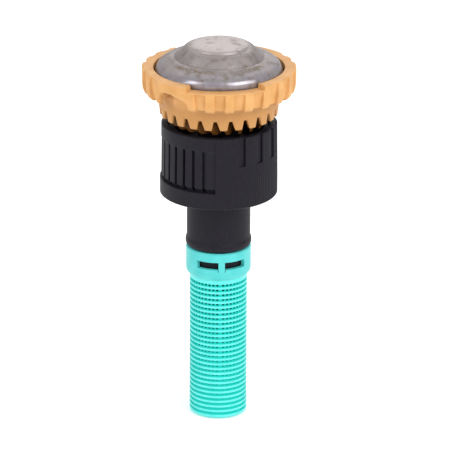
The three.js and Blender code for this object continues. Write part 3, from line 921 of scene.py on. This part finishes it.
def filter_plastic():
    """Teal: pale where it stands proud, with shade painted deep between the rings, and duller on the snap
    collar.
    """
    made, tree, shader, where = material("teal_plastic", 0.35)
    mottle = noise(tree, where, 0.4, 4.0)
    proud = ramp(tree, mottle, [(0.3, (0.1, 0.7, 0.66)), (0.7, (0.14, 0.78, 0.74))])
    dull = ramp(tree, mottle, [(0.3, (0.07, 0.53, 0.52)), (0.7, (0.10, 0.59, 0.575))])
    proud = blend(tree, remap(tree, split(tree, where)["Z"], TAPER_LOW, TAPER_LOW + 0.5), proud, dull)
    # painted shade: the wall between the proud rings is coloured a deeper teal
    out = remap(tree, around_axis(tree, where), FILTER_R - 0.3, FILTER_R - 0.08)
    tree.links.new(blend(tree, out, (0.0, 0.58, 0.5), proud), shader.inputs["Base Color"])
    shader.inputs["Specular IOR Level"].default_value = 0.25
    bump(tree, shader, noise(tree, where, 6.0, 3.0), 0.2, 0.02)
    return made


def bright_steel():
    """Turned stainless steel of the parts inside."""
    made, tree, shader, where = material("bright_steel", 0.3, 1.0)
    mottle = noise(tree, where, 0.8, 7.0)
    colour = ramp(tree, mottle, [(0.3, (0.36, 0.36, 0.37)), (0.7, (0.42, 0.42, 0.43))])
    tree.links.new(colour, shader.inputs["Base Color"])
    fine = noise(tree, where, 3.0, 5.0)
    tree.links.new(spread(tree, fine, 0.22, 0.4), shader.inputs["Roughness"])
    bump(tree, shader, fine, 0.2, 0.004)
    return made


def worn_steel():
    """Pressed steel: pale top disc, darker step, painted shade on the flat band round the groove, brown
    stains in the pressed marks and a smoother rim.
    """
    made, tree, shader, where = material("worn_steel", 0.5, 0.6)
    distance = around_axis(tree, where)
    # painted shade: the stops at 0.70 and 0.80 darken the flat band round the groove, which otherwise
    # reflects bright
    zones = ramp(
        tree,
        remap(tree, distance, 0.0, 14.0),
        [
            (0.40, (0.44, 0.39, 0.385)),
            (0.48, (0.29, 0.25, 0.25)),
            (0.66, (0.28, 0.245, 0.245)),
            (0.70, (0.22, 0.195, 0.2)),
            (0.80, (0.27, 0.245, 0.25)),
            (0.86, (0.36, 0.33, 0.34)),
            (0.95, (0.3, 0.285, 0.33)),
        ],
    )
    patches = noise(tree, where, 0.35, 10.0)
    zones = blend(tree, spread(tree, patches, 0.0, 0.6), zones, (0.4, 0.355, 0.35))
    stains = remap(tree, noise(tree, where, 0.55, 12.0), 0.5, 0.85)
    zones = blend(tree, stains, zones, (0.16, 0.11, 0.07))
    parts = split(tree, where)
    sideways = [(0.0, 0), (0.1, 1), (0.42, 1), (0.44, 0), (0.65, 0), (0.67, 1), (0.88, 1), (0.9, 0)]
    marked = ramp(
        tree,
        remap(tree, parts["X"], -12.0, 12.0),
        [(position, (level, level, level)) for position, level in sideways],
    )
    for start, end, value in (
        (10.3, 10.5, distance),
        (11.6, 11.4, distance),
        (-5.6, -6.2, parts["Y"]),
        (0.42, 0.66, noise(tree, where, 1.5, 3.0)),
    ):
        marked = product(tree, marked, remap(tree, value, start, end))
    zones = blend(tree, marked, zones, (0.22, 0.15, 0.09))
    tree.links.new(zones, shader.inputs["Base Color"])
    tree.links.new(remap(tree, distance, 12.3, 12.9, 0.52, 0.3), shader.inputs["Roughness"])
    bump(tree, shader, noise(tree, where, 2.5, 8.0), 0.35, 0.05)
    return made


tan = plastic("tan_plastic", (0.60, 0.30, 0.095), (0.69, 0.37, 0.135), 0.5, 0.35, painted_shade=painted_skirt_shade)
black = plastic("black_plastic", (0.0065, 0.0055, 0.010), (0.0095, 0.0082, 0.0135), 0.55, shine=0.2)
white = plastic("white_plastic", (0.66, 0.64, 0.58), (0.76, 0.74, 0.68), 0.45)
grey = plastic("grey_plastic", (0.16, 0.165, 0.17), (0.22, 0.225, 0.23), 0.5)
rubber = plastic("seal_rubber", (0.008, 0.008, 0.009), (0.016, 0.016, 0.017), 0.75)
bright = bright_steel()
worn = worn_steel()
teal = filter_plastic()

# ------------------------------------------------------------------ pieces on their bodies


def fit(piece, body, nodes, look):
    """Puts a piece with its look on a body, in place of the CAD's nodes."""
    piece.data.materials.clear()
    piece.data.materials.append(look)
    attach(piece, body)
    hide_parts(*nodes)


fit(deflector(), "rotor", ["deflector"], tan)
fit(cap(), "rotor", ["cap"], worn)
fit(radius_collar(), "collar", ["radius_collar"], black)
fit(nozzle_base(), "base", ["nozzle_base"], black)
fit(filter_screen(), "filter", ["filter_screen"], teal)

spring = return_spring()
spring.data.materials.append(bright)
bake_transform(spring)
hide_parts("return_spring")

KEPT = {
    "neck_o_ring": rubber,
    "cover_o_ring": rubber,
    "throttle_nut": white,
    "nozzle_cover": black,
    "valve_sleeve": black,
    "shaft": bright,
    "shaft_nut": bright,
    "spring_washer": bright,
    "lip_seal": rubber,
    "seal_retainer": grey,
    "brake_pad": rubber,
    "friction_disk": white,
    "thrust_washer": bright,
    "shaft_clip": bright,
}
for node, look in KEPT.items():
    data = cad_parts[node].data
    data.materials.clear()
    data.materials.append(look)

# ------------------------------------------------------------------ floor, light and camera

AIM_Z = 0.0425
ASIDE = 0.00195  # the object stands a little left of the picture's middle
DISTANCE = 0.8
ELEVATION = math.radians(20.56)
AZIMUTH = math.radians(-4.3)
LENS = 291.3
ROLL = math.radians(0.25)


def floor():
    """A pale floor just under the part's foot."""
    mesh = bpy.data.meshes.new("floor")
    half = 3.0
    z = CAD_BOX[0][2] - 0.0002
    corners = [(-half, -half, z), (half, -half, z), (half, half, z), (-half, half, z)]
    mesh.from_pydata(corners, [], [(0, 1, 2, 3)])
    plane = bpy.data.objects.new("floor", mesh)
    bpy.context.scene.collection.objects.link(plane)
    made = bpy.data.materials.new("floor")
    made.use_nodes = True
    shader = made.node_tree.nodes["Principled BSDF"]
    shader.inputs["Base Color"].default_value = (0.93, 0.93, 0.93, 1)
    shader.inputs["Roughness"].default_value = 0.9
    shader.inputs["Emission Color"].default_value = (1, 1, 1, 1)
    shader.inputs["Emission Strength"].default_value = 0.25
    mesh.materials.append(made)


def area_light(name, place_m, target_m, size, power):
    """A square lamp at a place, turned to a target; places and size in metres, power in watts."""
    light = bpy.data.lights.new(name, "AREA")
    light.size = size
    light.energy = power
    lamp = bpy.data.objects.new(name, light)
    lamp.location = place_m
    aim(lamp, target_m)
    bpy.context.scene.collection.objects.link(lamp)


def aim(thing, target_m):
    """Turns a lamp or camera to look at a target."""
    way = np.array(target_m, float) - np.array(thing.location, float)
    level = math.hypot(way[0], way[1])
    thing.rotation_euler = (math.pi / 2 + math.atan2(way[2], level), 0, math.atan2(-way[0], way[1]))


def camera():
    """A long lens, placed where the photo was taken from."""
    data = bpy.data.cameras.new("camera")
    data.lens = LENS
    data.sensor_width = 36
    data.clip_start = 0.01
    data.clip_end = 20
    view = bpy.data.objects.new("camera", data)
    right = np.array([math.cos(AZIMUTH), math.sin(AZIMUTH), 0])
    target = np.array([0, 0, AIM_Z]) + ASIDE * right
    level = math.cos(ELEVATION)
    back = np.array([math.sin(AZIMUTH) * level, -math.cos(AZIMUTH) * level, math.sin(ELEVATION)])
    view.location = target + DISTANCE * back
    aim(view, target)
    view.rotation_euler.rotate_axis("Z", ROLL)
    bpy.context.scene.collection.objects.link(view)
    bpy.context.scene.camera = view


def studio():
    """Three soft lamps and an even white surround."""
    middle = (0, 0, 0.045)
    area_light("key", (0.42, -0.5, 0.5), middle, 0.5, 4.0)
    area_light("fill", (-0.6, -0.3, 0.5), middle, 0.45, 2.6)
    area_light("back", (0.1, 0.6, 0.5), middle, 0.5, 1.5)
    world = bpy.data.worlds.new("world")
    world.use_nodes = True
    background = world.node_tree.nodes["Background"]
    background.inputs["Color"].default_value = (1, 1, 1, 1)
    background.inputs["Strength"].default_value = 0.55
    bpy.context.scene.world = world
    bpy.context.scene.view_settings.view_transform = "Standard"


floor()
studio()
camera()
